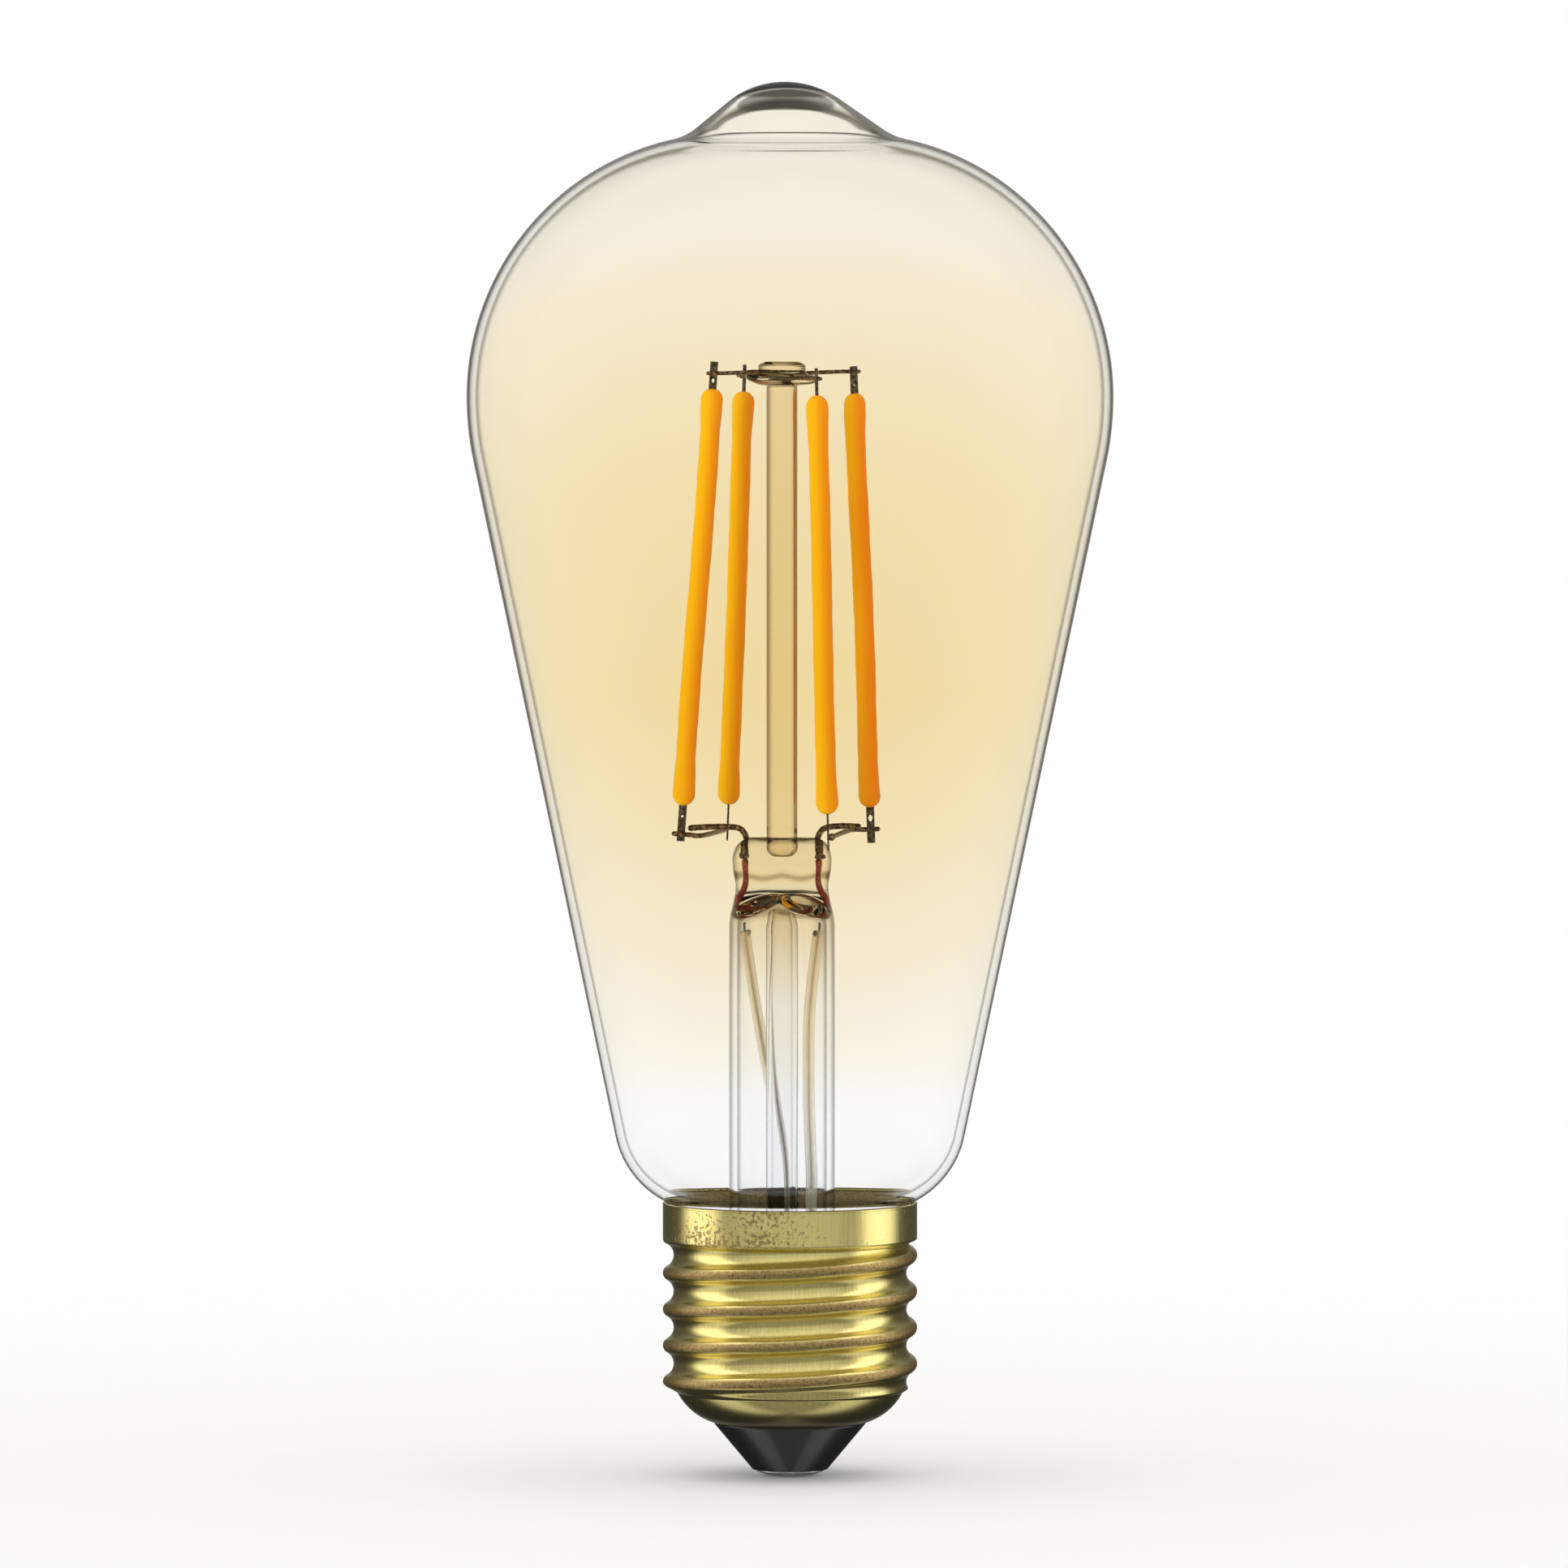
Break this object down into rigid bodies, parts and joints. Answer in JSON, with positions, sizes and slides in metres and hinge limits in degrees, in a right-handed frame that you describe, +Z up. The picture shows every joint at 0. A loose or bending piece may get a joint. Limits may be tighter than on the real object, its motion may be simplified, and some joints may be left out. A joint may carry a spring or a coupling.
{
  "type": "smart light bulb",
  "caption": "Smart filament light bulb: pear-shaped amber-tinted glass with LED filaments on a glass stem, on a brass screw cap that holds a driver and radio.",
  "frame": {"origin": "on the lamp's axis, at the flat of the centre contact, the lowest point", "axes": "+Z up the lamp's axis towards the tip of the glass; -Y is the front, towards which the stem's pressed seal shows its broad side; +X to the right seen from the front"},
  "size_m": [0.0644, 0.0644, 0.1393],
  "materials": {
    "tinted_glass": "polished",
    "clear_glass": "polished",
    "phosphor": "matt",
    "ceramic": "matt",
    "led_chip": "glossy",
    "tab_metal": "oxidised",
    "support_wire": "oxidised",
    "copper_clad_wire": "oxidised",
    "lead_wire": "satin",
    "sleeving": "satin",
    "brass": "polished, with dark spots",
    "black_insulator": "glossy",
    "contact_metal": "satin",
    "cement": "rough",
    "liner_plastic": "matt",
    "board": "satin",
    "capacitor_sleeve": "glossy",
    "ferrite": "matt",
    "enamelled_copper": "glossy",
    "package_black": "matt",
    "small_part": "satin",
    "shield_metal": "satin",
    "antenna_gold": "polished",
    "resistor_coat": "glossy",
    "hookup_wire": "tinned",
    "solder": "satin"
  },
  "bodies": {
    "root": {"bridge_rectifier": "package_black", "bulk_capacitor": "capacitor_sleeve", "cap_insulator": "black_insulator", "capping_cement": "cement", "centre_contact": "contact_metal", "chip_components": "small_part", "choke_core": "ferrite", "choke_winding": "enamelled_copper", "contact_lead": "hookup_wire", "cross_wire_left": "support_wire", "cross_wire_right": "support_wire", "driver_board": "board", "driver_chip": "package_black", "end_tabs_1": "tab_metal", "end_tabs_2": "tab_metal", "end_tabs_3": "tab_metal", "end_tabs_4": "tab_metal", "exhaust_tube": "clear_glass", "filament_strip_1": "ceramic", "filament_strip_2": "ceramic", "filament_strip_3": "ceramic", "filament_strip_4": "ceramic", "fusible_resistor": "resistor_coat", "glass_envelope": "tinted_glass", "hook_wire_left": "support_wire", "hook_wire_right": "support_wire", "insulating_liner": "liner_plastic", "insulating_sleeve_left": "sleeving", "insulating_sleeve_right": "sleeving", "led_chips_1": "led_chip", "led_chips_2": "led_chip", "led_chips_3": "led_chip", "led_chips_4": "led_chip", "outer_lead_left": "lead_wire", "outer_lead_right": "lead_wire", "phosphor_coat_1": "phosphor", "phosphor_coat_2": "phosphor", "phosphor_coat_3": "phosphor", "phosphor_coat_4": "phosphor", "pillar_button": "clear_glass", "radio_antenna": "antenna_gold", "radio_board": "board", "radio_shield": "shield_metal", "resistor_lead": "hookup_wire", "screw_shell": "brass", "seal_wire_left": "copper_clad_wire", "seal_wire_right": "copper_clad_wire", "shell_lead": "hookup_wire", "solder_joints": "solder", "stem_flare_tube": "clear_glass", "stem_pillar": "clear_glass", "stem_pinch": "clear_glass", "upper_wire_inner": "support_wire", "upper_wire_outer": "support_wire"}
  },
  "joints": []
}
